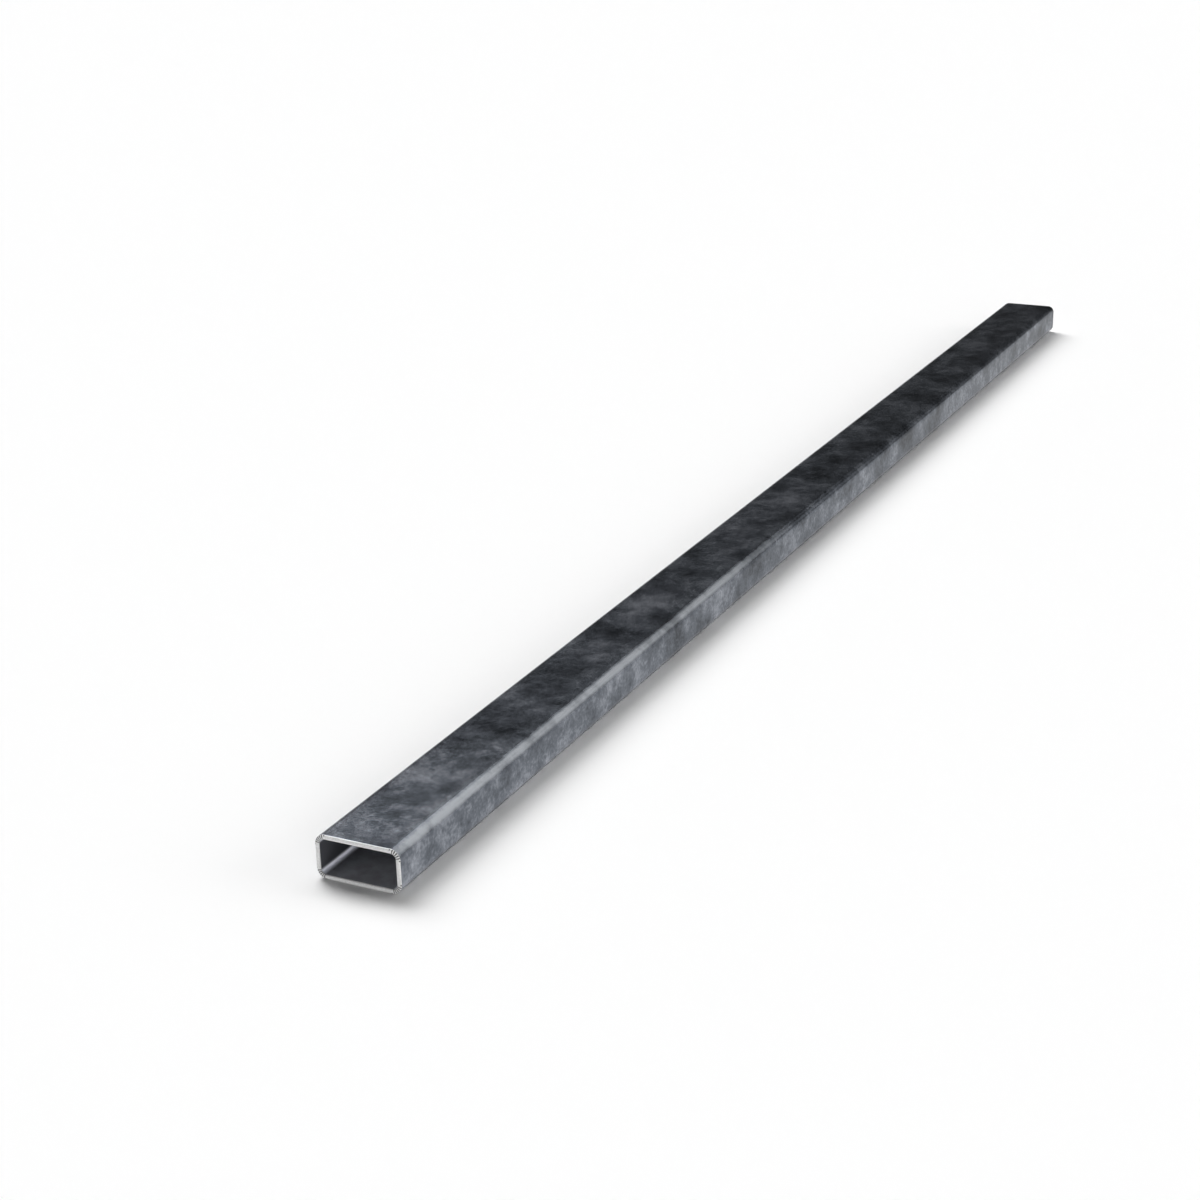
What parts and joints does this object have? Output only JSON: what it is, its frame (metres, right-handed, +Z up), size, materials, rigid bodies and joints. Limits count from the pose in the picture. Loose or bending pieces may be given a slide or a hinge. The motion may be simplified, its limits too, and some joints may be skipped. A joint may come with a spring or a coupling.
{
  "type": "rectangular steel tube",
  "caption": "Straight length of cold-formed rectangular steel tube with rounded corners, a mottled dark mill finish and bright, square-cut, lightly rounded open ends.",
  "frame": {"origin": "centre of the bottom face, halfway along the tube, on the floor that it lies on", "axes": "+X along the tube's length, away from the end nearest the camera in the picture; +Y across the wide faces; +Z up"},
  "size_m": [1, 0.04, 0.02],
  "materials": {
    "mill_steel": "hot-rolled mill scale in mottled dark blue-grey, with bright bare steel on the two cut ends"
  },
  "bodies": {
    "root": {"rectangular_tube": "mill_steel"}
  },
  "joints": []
}
